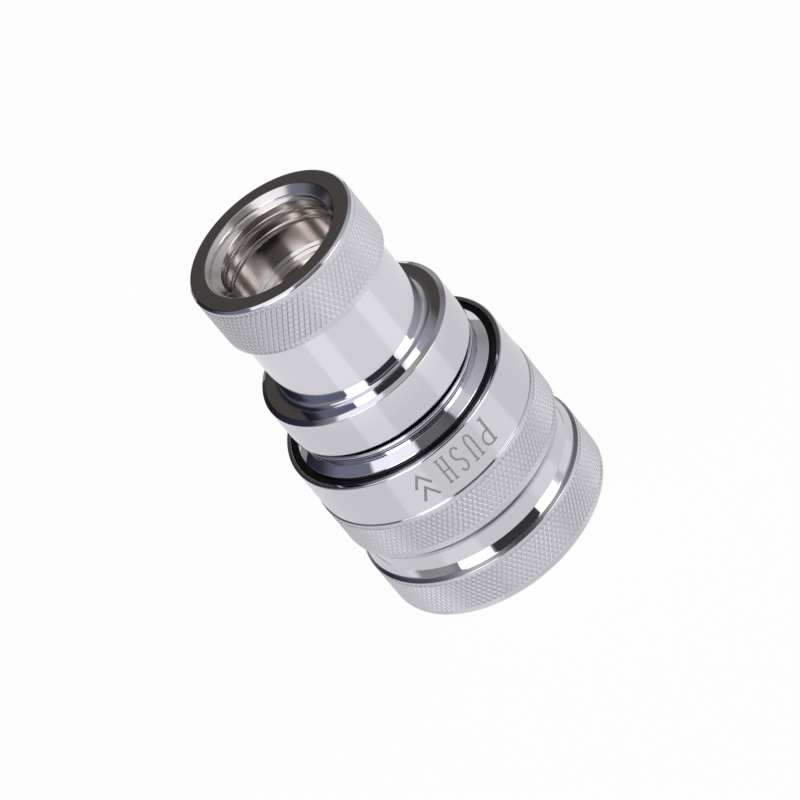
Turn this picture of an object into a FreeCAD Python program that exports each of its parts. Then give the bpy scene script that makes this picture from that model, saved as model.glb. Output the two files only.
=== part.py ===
import FreeCAD, Part
import math
import os

# Liquid cooling quick coupling, plug above, socket below, one common axis along Z.
# The origin is the middle of the socket's end face and all sizes are millimetres.
# The plug is home in the socket and the lock sleeve is back, so the balls leave the plug free.

# Fits
run_gap = 0.05
seal_gap = 0.02
ball_gap = 0.02
ball_hole_gap = 0.03
groove_gap = 0.03
stem_gap = 0.04
screw_gap = 0.03
rest_gap = 0.05

# Screwed ports, parallel pipe thread of one quarter inch
thread_minor_r = 5.7225
port_mouth_r = 6.78
socket_port_depth = 5.0
plug_port_depth = 6.3

# Plug nose and the bore that takes it
nose_r = 7.0
nose_tip_chamfer = 0.5
nose_wall = 1.25
bore_mouth_chamfer = 0.55
tube_wall = 1.4

# Poppet valves, the same in both halves
valve_hole_r = 4.2
seat_depth = 0.8
seat_gap = 0.05
valve_stroke = 1.7
head_thick = 0.9
poppet_seal_thick = 0.6
poppet_seal_width = 1.1
keeper_thick = 0.2
keeper_step = 0.25
push_stem_r = 1.5
guide_stem_r = 1.2
socket_chamber_r = 6.2
socket_lip_land = 0.25
nose_land = 0.6

# Valve springs, shown as short as the open valves press them
socket_spring_length = 1.65
socket_spring_wire = 0.45
socket_spring_turns = 2.5
plug_spring_length = 6.85
plug_spring_wire = 0.6
plug_spring_turns = 5.5
spring_mean_r = 3.2

# Valve guides
guide_thick = 0.7
guide_hub_wall = 0.7
guide_arm_width = 1.3
guide_arm_count = 3
guide_rim_seat = 0.8
spigot_rim_step = 0.3
socket_guide_hub_rise = 1.55
plug_guide_hub_rise = 1.1
guide_stem_past_hub = 0.8
guide_stem_end_gap = 0.05

# O-rings
joint_oring_d = 0.8
bore_oring_d = 0.8
oring_groove_gap = 0.05
bore_groove_land = 0.45
joint_oring_rise = 1.3
plug_joint_oring_drop = 1.9

# Lock balls
ball_count = 8
ball_r = 1.0
ball_sink = 0.35
ball_hole_lip_r = 0.85
ball_hole_cone = 0.45
ball_groove_depth = 0.38
ball_groove_half_floor = 0.38

# Lock sleeve
sleeve_travel = 1.8
cone_spare = 0.15
web_rise = 0.2
rear_skirt = 4.85
front_skirt = 3.64
sleeve_knurl_length = 5.69
sleeve_wall = 0.64
sleeve_knurl_rise = 0.13
sleeve_front_wall = 0.48
sleeve_rim_round = 0.2
sleeve_edge = 0.04
sleeve_taper_width = 0.5
sleeve_taper_height = 1.02

# Socket body
shoulder_step = 0.75
shoulder_land = 0.4
flange_low_land = 0.6
flange_top_land = 0.4
flange_side_gap = 0.71
guide_ring_height = 0.9
guide_ring_sink = 0.57
guide_ring_split = 0.6
nose_cone_step = 0.77
nose_cone_height = 0.78
lip_notch_height = 0.42
lip_notch_depth = 0.28
lip_bead_height = 0.63
lip_bead_step = 0.03
lip_round_width = 0.56
lip_round_height = 0.21
lip_low_round_width = 0.18
lip_low_round_height = 0.4

# Socket adapter
neck_wall = 1.72
end_ring_step = 0.72
end_ring_height = 4.83
end_ring_edge = 0.05
flare_foot_width = 0.31
flare_foot_height = 0.32
flare_height = 0.86

# Plug body and collar
front_gap = 0.57
flange_r = 9.79
flange_height = 4.56
flange_bevel_width = 0.49
flange_bevel_height = 0.26
flange_low_edge = 0.19
spigot_wall = 2.85
barrel_r = 7.71
barrel_length = 8.31
foot_step = 0.6
foot_height = 0.41
collar_rise = 0.81
collar_height = 5.79
collar_edge_width = 0.28
collar_edge_height = 0.28
step_depth = 0.42
step_bevel = 0.3
step_wall = 0.3

# Radii that follow
bore_r = nose_r + run_gap
tube_r = bore_r + tube_wall
shoulder_r = tube_r + shoulder_step
adapter_bore_r = shoulder_r + screw_gap
neck_r = adapter_bore_r + neck_wall
end_ring_r = neck_r + end_ring_step
sleeve_bore_r = neck_r + run_gap
sleeve_knurl_r = sleeve_bore_r + sleeve_wall
sleeve_band_r = sleeve_knurl_r - sleeve_knurl_rise
sleeve_front_bore_r = sleeve_band_r - sleeve_front_wall
socket_flange_r = sleeve_front_bore_r - flange_side_gap
guide_ring_floor_r = socket_flange_r - guide_ring_sink
cone_top_r = socket_flange_r - nose_cone_step
lip_bead_r = cone_top_r - lip_bead_step
seat_mouth_r = valve_hole_r + seat_depth
head_r = seat_mouth_r - (seat_depth - poppet_seal_thick)
seal_hub_r = head_r - poppet_seal_width
keeper_r = seal_hub_r + keeper_step
guide_bore_r = guide_stem_r + stem_gap
guide_hub_r = guide_bore_r + guide_hub_wall
plug_chamber_r = nose_r - nose_wall
socket_guide_r = socket_chamber_r + guide_rim_seat
plug_spigot_r = plug_chamber_r + guide_rim_seat + spigot_rim_step
plug_counterbore_r = plug_spigot_r + screw_gap
plug_passage_r = plug_spigot_r - spigot_wall
bore_groove_r = nose_r + seal_gap + bore_oring_d + groove_gap
foot_r = barrel_r + foot_step
collar_r = barrel_r + collar_rise

# Ball seats: the sleeve's cone moves the balls in as the sleeve moves up
ball_free_r = bore_r + ball_r
cone_slope = ball_sink / sleeve_travel
cone_angle = math.atan(cone_slope)
ball_touch_drop = (ball_r + ball_gap) * math.sin(cone_angle)
ball_touch_out = (ball_r + ball_gap) / math.cos(cone_angle)

# Heights that follow, from the socket's end face upwards
socket_guide_top = socket_port_depth + guide_thick
socket_head_low = socket_guide_top + socket_spring_length
socket_head_top = socket_head_low + head_thick
socket_seal_top = socket_head_top + poppet_seal_thick
socket_land_z = socket_seal_top + valve_stroke + seat_gap
socket_seat_z = socket_land_z - seat_depth
bore_floor_z = socket_land_z + socket_lip_land
bore_groove_z = bore_floor_z + bore_groove_land
bore_groove_height = bore_oring_d + 2 * oring_groove_gap
neck_top_z = bore_groove_z + bore_groove_height + shoulder_land
web_low_z = neck_top_z + rest_gap
ball_z = web_low_z + cone_spare + ball_touch_drop + sleeve_travel
web_top_z = ball_z + web_rise
sleeve_low_z = web_low_z - rear_skirt
sleeve_knurl_top_z = sleeve_low_z + sleeve_knurl_length
sleeve_top_z = web_top_z + front_skirt
socket_flange_low_z = web_top_z + sleeve_travel + rest_gap
guide_groove_low_z = socket_flange_low_z + flange_low_land
guide_groove_top_z = guide_groove_low_z + guide_ring_height + 2 * groove_gap
cone_low_z = guide_groove_top_z + flange_top_land
cone_top_z = cone_low_z + nose_cone_height
bead_low_z = cone_top_z + lip_notch_height
socket_front_z = bead_low_z + lip_bead_height
plug_flange_low_z = socket_front_z + front_gap
plug_flange_top_z = plug_flange_low_z + flange_height
collar_low_z = plug_flange_top_z + barrel_length
plug_end_z = collar_low_z + collar_height
nose_tip_z = bore_floor_z + rest_gap
plug_land_z = nose_tip_z + nose_land
plug_seat_z = plug_land_z + seat_depth
plug_seal_low = plug_land_z + seat_gap + valve_stroke
plug_seal_top = plug_seal_low + poppet_seal_thick
plug_head_top = plug_seal_top + head_thick
plug_guide_low = plug_head_top + plug_spring_length
plug_guide_top = plug_guide_low + guide_thick

# How far a cutting tool reaches past what it cuts
cut_margin = 1.0

AXIS = FreeCAD.Vector(0, 0, 1)
ORIGIN = FreeCAD.Vector(0, 0, 0)
QUARTER_MIDDLE = 1 - math.cos(math.radians(45))


def turned(*steps):
    """Turn a closed outline round the axis. A step of two numbers is a straight run to (radius, height),
    and a step of four numbers is an arc through its first pair to its second."""
    points = [FreeCAD.Vector(step[-2], 0, step[-1]) for step in steps]
    edges = []
    for index, step in enumerate(steps):
        before = points[index - 1]
        here = points[index]
        if len(step) == 4:
            middle = FreeCAD.Vector(step[0], 0, step[1])
            edges.append(Part.Arc(before, middle, here).toShape())
        else:
            edges.append(Part.LineSegment(before, here).toShape())
    face = Part.Face(Part.Wire(edges))
    return face.revolve(ORIGIN, AXIS, 360)


def corner_round(start, end, corner):
    """The step of an arc from start to end that bends towards the corner, as a quarter turn does."""
    middle_r = corner[0] + QUARTER_MIDDLE * (start[0] + end[0] - 2 * corner[0])
    middle_z = corner[1] + QUARTER_MIDDLE * (start[1] + end[1] - 2 * corner[1])
    return (middle_r, middle_z, end[0], end[1])


def turned_about(copy_of, count):
    """Equal copies of one shape, evenly spaced round the axis."""
    copies = []
    for index in range(count):
        one = copy_of.copy()
        one.rotate(ORIGIN, AXIS, index * 360.0 / count)
        copies.append(one)
    return copies


def o_ring(inner_r, thickness, middle_z):
    """A rubber ring with a round section."""
    place = FreeCAD.Vector(0, 0, middle_z)
    return Part.makeTorus(inner_r + thickness / 2, thickness / 2, place, AXIS)


def spring(low_z, length, wire_d, turns, mean_r):
    """A round wire wound to a helix that just fills the length."""
    rise = length - wire_d
    path = Part.makeHelix(rise / turns, rise, mean_r)
    ring = Part.makeCircle(wire_d / 2, FreeCAD.Vector(mean_r, 0, 0), FreeCAD.Vector(0, 1, 0))
    coil = Part.Wire(path).makePipeShell([Part.Wire(ring)], True, True)
    coil.translate(FreeCAD.Vector(0, 0, low_z + wire_d / 2))
    return coil


def valve_guide(low_z, outer_r, rim_inner_r, hub_rise):
    """A flat rim with arms that hold a bored hub on the axis."""
    top_z = low_z + guide_thick
    rim = turned((rim_inner_r, low_z), (outer_r, low_z), (outer_r, top_z), (rim_inner_r, top_z))
    hub_top = top_z + hub_rise
    hub = turned((guide_bore_r, low_z), (guide_hub_r, low_z), (guide_hub_r, hub_top), (guide_bore_r, hub_top))
    reach = (rim_inner_r + outer_r) / 2
    inside = (guide_bore_r + guide_hub_r) / 2
    corner = FreeCAD.Vector(inside, -guide_arm_width / 2, low_z)
    arm = Part.makeBox(reach - inside, guide_arm_width, guide_thick, corner)
    return rim.fuse([hub] + turned_about(arm, guide_arm_count)).removeSplitter()


def socket_adapter():
    """The knurled end ring and the neck that the sleeve slides on, one turned cup."""
    port_bevel = port_mouth_r - thread_minor_r
    flare_foot_r = end_ring_r - end_ring_edge
    flare_low_z = end_ring_height + flare_foot_height
    return turned(
        (thread_minor_r, port_bevel),
        (port_mouth_r, 0),
        (end_ring_r, 0),
        (end_ring_r, end_ring_height - end_ring_edge),
        (flare_foot_r, end_ring_height),
        (flare_foot_r - flare_foot_width, flare_low_z),
        (neck_r, flare_low_z + flare_height),
        (neck_r, neck_top_z),
        (adapter_bore_r, neck_top_z),
        (adapter_bore_r, socket_guide_top),
        (socket_guide_r + screw_gap, socket_guide_top),
        (socket_guide_r + screw_gap, socket_port_depth),
        (thread_minor_r, socket_port_depth),
    )


def ball_hole():
    """One radial hole, narrowed at the bore so that the ball can't fall through."""
    direction = FreeCAD.Vector(1, 0, 0)
    cone_end_r = bore_r + ball_hole_cone
    inner_start = FreeCAD.Vector(bore_r - cut_margin, 0, ball_z)
    inner = Part.makeCylinder(ball_hole_lip_r, 2 * cut_margin, inner_start, direction)
    wide_r = ball_r + ball_hole_gap
    cone = Part.makeCone(ball_hole_lip_r, wide_r, ball_hole_cone, FreeCAD.Vector(bore_r, 0, ball_z), direction)
    outer_start = FreeCAD.Vector(cone_end_r, 0, ball_z)
    outer = Part.makeCylinder(wide_r, tube_wall + cut_margin, outer_start, direction)
    return inner.fuse([cone, outer])


def socket_body():
    """The turned tube with the valve seat, the bore, the ball holes, the front flange, its cone and the lip."""
    joint_groove_low = socket_guide_top + joint_oring_rise
    joint_groove_top = joint_groove_low + joint_oring_d + 2 * oring_groove_gap
    joint_groove_r = adapter_bore_r - groove_gap - joint_oring_d - groove_gap
    bore_groove_top = bore_groove_z + bore_groove_height
    lip_round_start = (lip_bead_r, socket_front_z - lip_round_height)
    lip_round_end = (lip_bead_r - lip_round_width, socket_front_z)
    lip_low_start = (lip_bead_r - lip_low_round_width, bead_low_z)
    lip_low_end = (lip_bead_r, bead_low_z + lip_low_round_height)
    body = turned(
        (socket_chamber_r, socket_guide_top),
        (shoulder_r, socket_guide_top),
        (shoulder_r, joint_groove_low),
        (joint_groove_r, joint_groove_low),
        (joint_groove_r, joint_groove_top),
        (shoulder_r, joint_groove_top),
        (shoulder_r, neck_top_z),
        (tube_r, neck_top_z),
        (tube_r, socket_flange_low_z),
        (socket_flange_r, socket_flange_low_z),
        (socket_flange_r, guide_groove_low_z),
        (guide_ring_floor_r, guide_groove_low_z),
        (guide_ring_floor_r, guide_groove_top_z),
        (socket_flange_r, guide_groove_top_z),
        (socket_flange_r, cone_low_z),
        (cone_top_r, cone_top_z),
        (cone_top_r - lip_notch_depth, cone_top_z),
        (cone_top_r - lip_notch_depth, bead_low_z),
        lip_low_start,
        corner_round(lip_low_start, lip_low_end, (lip_bead_r, bead_low_z)),
        lip_round_start,
        corner_round(lip_round_start, lip_round_end, (lip_bead_r, socket_front_z)),
        (bore_r + bore_mouth_chamfer, socket_front_z),
        (bore_r, socket_front_z - bore_mouth_chamfer),
        (bore_r, bore_groove_top),
        (bore_groove_r, bore_groove_top),
        (bore_groove_r, bore_groove_z),
        (bore_r, bore_groove_z),
        (bore_r, bore_floor_z),
        (valve_hole_r, bore_floor_z),
        (valve_hole_r, socket_land_z),
        (seat_mouth_r, socket_seat_z),
        (socket_chamber_r, socket_seat_z),
    )
    return body.cut(turned_about(ball_hole(), ball_count))


def lock_sleeve():
    """The knurled sleeve: a rear skirt on the neck, a web with the ball cone and a thin front skirt."""
    cone_r_at_ball = ball_free_r + ball_touch_out
    cone_low_r = cone_r_at_ball - (ball_z - web_low_z) * cone_slope
    cone_top = cone_r_at_ball + web_rise * cone_slope
    rim_start = (sleeve_band_r, sleeve_top_z - sleeve_rim_round)
    rim_end = (sleeve_band_r - sleeve_rim_round, sleeve_top_z)
    return turned(
        (sleeve_bore_r + sleeve_edge, sleeve_low_z),
        (sleeve_knurl_r - sleeve_taper_width, sleeve_low_z),
        (sleeve_knurl_r, sleeve_low_z + sleeve_taper_height),
        (sleeve_knurl_r, sleeve_knurl_top_z - sleeve_knurl_rise),
        (sleeve_band_r, sleeve_knurl_top_z),
        rim_start,
        corner_round(rim_start, rim_end, (sleeve_band_r, sleeve_top_z)),
        (sleeve_front_bore_r, sleeve_top_z),
        (sleeve_front_bore_r, web_top_z),
        (cone_top, web_top_z),
        (cone_low_r, web_low_z),
        (sleeve_bore_r, web_low_z),
        (sleeve_bore_r, sleeve_low_z + sleeve_edge),
    )


def sleeve_guide_ring():
    """The black split ring in the front flange that the sleeve slides on."""
    inner_r = guide_ring_floor_r + groove_gap
    outer_r = sleeve_front_bore_r - groove_gap
    low_z = guide_groove_low_z + groove_gap
    top_z = low_z + guide_ring_height
    ring = turned((inner_r, low_z), (outer_r, low_z), (outer_r, top_z), (inner_r, top_z))
    corner = FreeCAD.Vector(-guide_ring_split / 2, 0, low_z - cut_margin)
    split = Part.makeBox(guide_ring_split, outer_r + cut_margin, guide_ring_height + 2 * cut_margin, corner)
    return ring.cut(split)


def poppet(seal_face_z, away, push_end_z, stem_end_z):
    """A turned poppet. Away is 1 where the guide stem points up and -1 where it points down, and
    seal_face_z is the height of the seal's small end."""
    keeper_end = seal_face_z - away * keeper_thick
    seal_back = seal_face_z + away * poppet_seal_thick
    head_back = seal_back + away * head_thick
    return turned(
        (0, push_end_z),
        (push_stem_r, push_end_z),
        (push_stem_r, keeper_end),
        (keeper_r, keeper_end),
        (keeper_r, seal_face_z),
        (seal_hub_r, seal_face_z),
        (seal_hub_r, seal_back),
        (head_r, seal_back),
        (head_r, head_back),
        (guide_stem_r, head_back),
        (guide_stem_r, stem_end_z),
        (0, stem_end_z),
    )


def poppet_seal(seal_face_z, away):
    """The rubber ring between head and keeper, bevelled to the seat."""
    seal_back = seal_face_z + away * poppet_seal_thick
    return turned(
        (seal_hub_r, seal_face_z),
        (head_r - poppet_seal_thick, seal_face_z),
        (head_r, seal_back),
        (seal_hub_r, seal_back),
    )


def plug_body():
    """The nose with its ball groove and valve seat, and the smooth flange above it."""
    groove_floor_r = nose_r - ball_groove_depth
    groove_half_mouth = ball_groove_half_floor + ball_groove_depth
    low_edge_start = (flange_r - flange_low_edge, plug_flange_low_z)
    low_edge_end = (flange_r, plug_flange_low_z + flange_low_edge)
    return turned(
        (valve_hole_r, nose_tip_z),
        (nose_r - nose_tip_chamfer, nose_tip_z),
        (nose_r, nose_tip_z + nose_tip_chamfer),
        (nose_r, ball_z - groove_half_mouth),
        (groove_floor_r, ball_z - ball_groove_half_floor),
        (groove_floor_r, ball_z + ball_groove_half_floor),
        (nose_r, ball_z + groove_half_mouth),
        (nose_r, plug_flange_low_z),
        low_edge_start,
        corner_round(low_edge_start, low_edge_end, (flange_r, plug_flange_low_z)),
        (flange_r, plug_flange_top_z - flange_bevel_height),
        (flange_r - flange_bevel_width, plug_flange_top_z),
        (plug_counterbore_r, plug_flange_top_z),
        (plug_counterbore_r, plug_guide_low),
        (plug_chamber_r, plug_guide_low),
        (plug_chamber_r, plug_seat_z),
        (seat_mouth_r, plug_seat_z),
        (valve_hole_r, plug_land_z),
    )


def plug_collar():
    """The knurled collar, the barrel with its hollow foot and the spigot that screws into the plug body."""
    port_bevel = port_mouth_r - thread_minor_r
    foot_start = (foot_r, plug_flange_top_z)
    foot_end = (barrel_r, plug_flange_top_z + foot_height)
    groove_top = plug_flange_top_z - plug_joint_oring_drop
    groove_low = groove_top - joint_oring_d - 2 * oring_groove_gap
    groove_r = plug_counterbore_r - groove_gap - joint_oring_d - groove_gap
    port_floor_z = plug_end_z - plug_port_depth
    first_r = thread_minor_r - step_depth
    first_z = port_floor_z - step_bevel
    second_r = first_r - step_depth
    second_z = first_z - step_wall - step_bevel
    return turned(
        (plug_passage_r, plug_guide_top),
        (plug_spigot_r, plug_guide_top),
        (plug_spigot_r, groove_low),
        (groove_r, groove_low),
        (groove_r, groove_top),
        (plug_spigot_r, groove_top),
        (plug_spigot_r, plug_flange_top_z),
        foot_start,
        corner_round(foot_start, foot_end, (barrel_r, plug_flange_top_z)),
        (barrel_r, collar_low_z),
        (collar_r, collar_low_z),
        (collar_r, plug_end_z - collar_edge_height),
        (collar_r - collar_edge_width, plug_end_z),
        (port_mouth_r, plug_end_z),
        (thread_minor_r, plug_end_z - port_bevel),
        (thread_minor_r, port_floor_z),
        (first_r, first_z),
        (first_r, first_z - step_wall),
        (second_r, second_z),
        (second_r, second_z - step_wall),
        (plug_passage_r, second_z - step_wall - step_bevel),
    )


def lock_balls():
    """The steel balls, in the holes' order round the axis."""
    one = Part.makeSphere(ball_r, FreeCAD.Vector(ball_free_r, 0, ball_z))
    return turned_about(one, ball_count)


meet_z = bore_floor_z
hub_top_z = plug_guide_top + plug_guide_hub_rise
socket_joint_ring_z = socket_guide_top + joint_oring_rise + oring_groove_gap + joint_oring_d / 2
plug_joint_ring_z = plug_flange_top_z - plug_joint_oring_drop - oring_groove_gap - joint_oring_d / 2

nodes = {
    "socket_adapter": socket_adapter(),
    "socket_body": socket_body(),
    "socket_joint_oring": o_ring(adapter_bore_r - groove_gap - joint_oring_d, joint_oring_d, socket_joint_ring_z),
    "socket_bore_oring": o_ring(nose_r + seal_gap, bore_oring_d, bore_groove_z + bore_groove_height / 2),
    "socket_valve_guide": valve_guide(
        socket_port_depth, socket_guide_r, socket_chamber_r - guide_rim_seat, socket_guide_hub_rise),
    "socket_valve_spring": spring(
        socket_guide_top, socket_spring_length, socket_spring_wire, socket_spring_turns, spring_mean_r),
    "socket_poppet": poppet(
        socket_seal_top, -1, meet_z - rest_gap / 2, socket_port_depth + guide_stem_end_gap),
    "socket_poppet_seal": poppet_seal(socket_seal_top, -1),
    "lock_sleeve": lock_sleeve(),
    "sleeve_guide_ring": sleeve_guide_ring(),
    "plug_body": plug_body(),
    "plug_collar": plug_collar(),
    "plug_joint_oring": o_ring(
        plug_counterbore_r - groove_gap - joint_oring_d, joint_oring_d, plug_joint_ring_z),
    "plug_valve_guide": valve_guide(
        plug_guide_low, plug_spigot_r, plug_passage_r, plug_guide_hub_rise),
    "plug_valve_spring": spring(
        plug_head_top, plug_spring_length, plug_spring_wire, plug_spring_turns, spring_mean_r),
    "plug_poppet": poppet(
        plug_seal_low, 1, meet_z + rest_gap / 2, hub_top_z + guide_stem_past_hub),
    "plug_poppet_seal": poppet_seal(plug_seal_low, 1),
}

for number, ball in enumerate(lock_balls(), start=1):
    nodes["lock_ball_%d" % number] = ball

os.makedirs("parts", exist_ok=True)
for name, shape in nodes.items():
    shape.exportStep("parts/%s.step" % name)
    print("%-22s solids %d valid %s volume %8.3f" % (name, len(shape.Solids), shape.isValid(), shape.Volume))
print("height %.2f, ball plane %.2f, sleeve %.2f to %.2f, plug flange %.2f to %.2f" % (
    plug_end_z, ball_z, sleeve_low_z, sleeve_top_z, plug_flange_low_z, plug_flange_top_z))
print("ball centre %.3f, ratio of ball to sleeve %.5f" % (ball_free_r, cone_slope))
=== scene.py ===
"""Looks of the liquid cooling quick coupling: turned, knurled and chromed brass, plug above and socket below.
Sizes are written in millimetres and become metres where a mesh is made. Turned pieces stand on the Z axis. Only
the studio round them is written in metres."""
import math

import bpy
import numpy as np
from mathutils import Matrix, Vector


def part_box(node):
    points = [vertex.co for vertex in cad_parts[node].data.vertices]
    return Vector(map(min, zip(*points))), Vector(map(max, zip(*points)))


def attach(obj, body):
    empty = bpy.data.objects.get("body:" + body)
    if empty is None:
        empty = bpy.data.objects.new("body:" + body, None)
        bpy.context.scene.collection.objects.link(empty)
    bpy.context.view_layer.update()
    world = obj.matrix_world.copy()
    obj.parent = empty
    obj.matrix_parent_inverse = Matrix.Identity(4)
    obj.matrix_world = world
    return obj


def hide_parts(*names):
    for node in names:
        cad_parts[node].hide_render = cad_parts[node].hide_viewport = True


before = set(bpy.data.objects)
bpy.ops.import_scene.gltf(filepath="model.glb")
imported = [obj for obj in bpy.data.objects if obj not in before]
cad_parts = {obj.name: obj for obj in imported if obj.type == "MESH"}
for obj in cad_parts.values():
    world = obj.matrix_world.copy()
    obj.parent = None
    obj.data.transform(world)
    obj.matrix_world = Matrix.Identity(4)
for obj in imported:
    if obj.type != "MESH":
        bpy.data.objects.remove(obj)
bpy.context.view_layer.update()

MM = 0.001

# Finishes of a turned piece's runs, in the order of its material slots
POLISHED, KNURLED, THREADED, BORED, DULL = range(5)

# Ways from a knurl's peak to the groove crossings beside it, in the order of its flat top's corners
RIGHT, LEFT, UP, DOWN = range(4)

# Edges, as a buffed and plated edge keeps them
outer_edge = 0.07
inner_edge = 0.03

# Screwed ports: parallel pipe thread of one quarter inch
thread_pitch = 1.337
thread_minor_r = 5.7225
thread_depth = 0.07
thread_half_crest = 0.32
thread_flank = 0.3
lead_in_depth = 0.1
lead_in_half_width = 0.13
port_mouth_r = 6.78
port_bevel = port_mouth_r - thread_minor_r
thread_rows = 28
thread_fade = 0.55
plug_thread_length = 3.95
socket_thread_length = 3.7
crest_height_at_back = 38.58

# Knurl: diamonds stand on their points, grooves lie 30 degrees from the axis, and the rolls left the tops flat
ring_diamonds = 131
collar_diamonds = 96
half_row = 0.48
knurl_depth = 0.08
collar_knurl_depth = 0.052
flat_share = 0.55

# How finely a piece is cut up: columns of a plain one, and rows of a rounding, which grow with its root
plain_columns = 256
rounding_density = 28
fewest_rounding_rows = 4
most_rounding_rows = 28


# Meshes

def corner(radius, height, ease=inner_edge, finish=POLISHED):
    """One corner of an outline: its place, how much of the two runs beside it the rounding takes (one number,
    or one for each run), and the finish of the run that follows."""
    before, after = ease if isinstance(ease, tuple) else (ease, ease)
    return radius, height, before, after, finish


def outline_rows(corners):
    """The rows of a closed outline that goes round counter-clockwise. Each corner C between the cut points S and E
    becomes a quarter of an ellipse, C + (S - C)(1 - sin t) + (E - C)(1 - cos t) with t from 0 to a quarter turn,
    so it meets both runs without a kink. Knurled and threaded runs get rows at equal steps between their ends.
    Returns radius, height, the normal's two parts, each row's kind, its count in its run and the finish above it."""
    table = np.array([item[:4] for item in corners])
    finishes = [item[4] for item in corners]
    place = table[:, :2]
    to_next = np.roll(place, -1, axis=0) - place
    to_next /= np.linalg.norm(to_next, axis=1)[:, None]
    from_last = np.roll(to_next, 1, axis=0)
    starts = place - from_last * table[:, 2:3]
    ends = place + to_next * table[:, 3:4]
    points, tangents, kinds, counts, spans = [], [], [], [], []
    for index, finish in enumerate(finishes):
        before, after = table[index, 2:]
        if before + after > 0:
            steps = rounding_density * max(before, after) ** 0.5
            steps = int(np.clip(steps, fewest_rounding_rows, most_rounding_rows))
            t = np.linspace(0, math.pi / 2, steps + 1)[:, None]
            to_start = starts[index] - place[index]
            to_end = ends[index] - place[index]
            points.append(place[index] + to_start * (1 - np.sin(t)) + to_end * (1 - np.cos(t)))
            tangents.append(-to_start * np.cos(t) + to_end * np.sin(t))
        else:
            steps = 0
            points.append(place[index][None])
            tangents.append((from_last[index] + to_next[index])[None])
        own_finish = [POLISHED if finish == KNURLED else finish] * steps + [finish]
        kinds += [THREADED if finish == THREADED and steps == 0 else POLISHED] * (steps + 1)
        counts += [0] * (steps + 1)
        spans += own_finish
        if finish in (KNURLED, THREADED):
            other = starts[(index + 1) % len(corners)]
            length = np.linalg.norm(other - ends[index])
            step = half_row if finish == KNURLED else thread_pitch / thread_rows
            number = max(2, int(round(length / step)))
            share = (np.arange(1, number) / number)[:, None]
            points.append(ends[index] + (other - ends[index]) * share)
            tangents.append(np.repeat(to_next[index][None], number - 1, axis=0))
            kinds += [finish] * (number - 1)
            counts += list(range(1, number))
            spans += [finish] * (number - 1)
    points = np.concatenate(points)
    tangents = np.concatenate(tangents)
    tangents /= np.linalg.norm(tangents, axis=1)[:, None]
    return (points[:, 0], points[:, 1], tangents[:, 1], -tangents[:, 0],
            np.array(kinds), np.array(counts), np.array(spans))


def thread_relief(base, height, angle, mouth_height, into, length):
    """Radius of the screwed bore at every row and column: the larger of the plain bore and a helical groove. The
    groove's depth is a smooth step of the distance from the nearest crest's middle, and it fades at the deep end.
    The bevel at the mouth keeps only the groove's root, as a narrow dip. Turns are counted from the back, which is
    a quarter turn from +X."""
    turn = angle[None, :] / (2 * math.pi) - 0.25
    phase = (height[:, None] - crest_height_at_back) / thread_pitch - turn
    distance = np.abs((phase + 0.5) % 1 - 0.5) * thread_pitch
    rise = np.clip((distance - thread_half_crest) / thread_flank, 0, 1)
    rise = rise * rise * (3 - 2 * rise)
    depth_in = (mouth_height - height) * into
    fade = np.clip((length - depth_in) / thread_fade, 0, 1)[:, None]
    dip = np.clip((distance - thread_pitch / 2) / lead_in_half_width + 1, 0, 1)
    on_bevel = np.clip((base - thread_minor_r) / lead_in_depth, 0, 1)[:, None]
    on_mouth = base[:, None] + lead_in_depth * dip * dip * on_bevel
    in_bore = thread_minor_r + thread_depth * rise * fade
    return np.maximum(on_mouth, in_bore)


def piece_from_arrays(name, points, face_sets, finish_sets, materials, loop_normals=None):
    """Put whole arrays into one mesh: points in metres, then sets of faces with three or four corners each."""
    mesh = bpy.data.meshes.new(name)
    loops = np.concatenate([faces.ravel() for faces in face_sets]).astype(np.int32)
    sizes = np.concatenate([np.full(len(faces), faces.shape[1]) for faces in face_sets])
    starts = np.concatenate([[0], np.cumsum(sizes)[:-1]]).astype(np.int32)
    mesh.vertices.add(len(points))
    mesh.vertices.foreach_set("co", points.astype(np.float32).ravel())
    mesh.loops.add(len(loops))
    mesh.loops.foreach_set("vertex_index", loops)
    mesh.polygons.add(len(sizes))
    mesh.polygons.foreach_set("loop_start", starts)
    mesh.polygons.foreach_set("material_index", np.concatenate(finish_sets).astype(np.int32))
    mesh.polygons.foreach_set("use_smooth", np.ones(len(sizes), bool))
    mesh.update(calc_edges=True)
    for material in materials:
        mesh.materials.append(material)
    if loop_normals is not None:
        mesh.normals_split_custom_set(loop_normals.astype(np.float32))
    piece = bpy.data.objects.new(name, mesh)
    bpy.context.scene.collection.objects.link(piece)
    return piece


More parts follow.
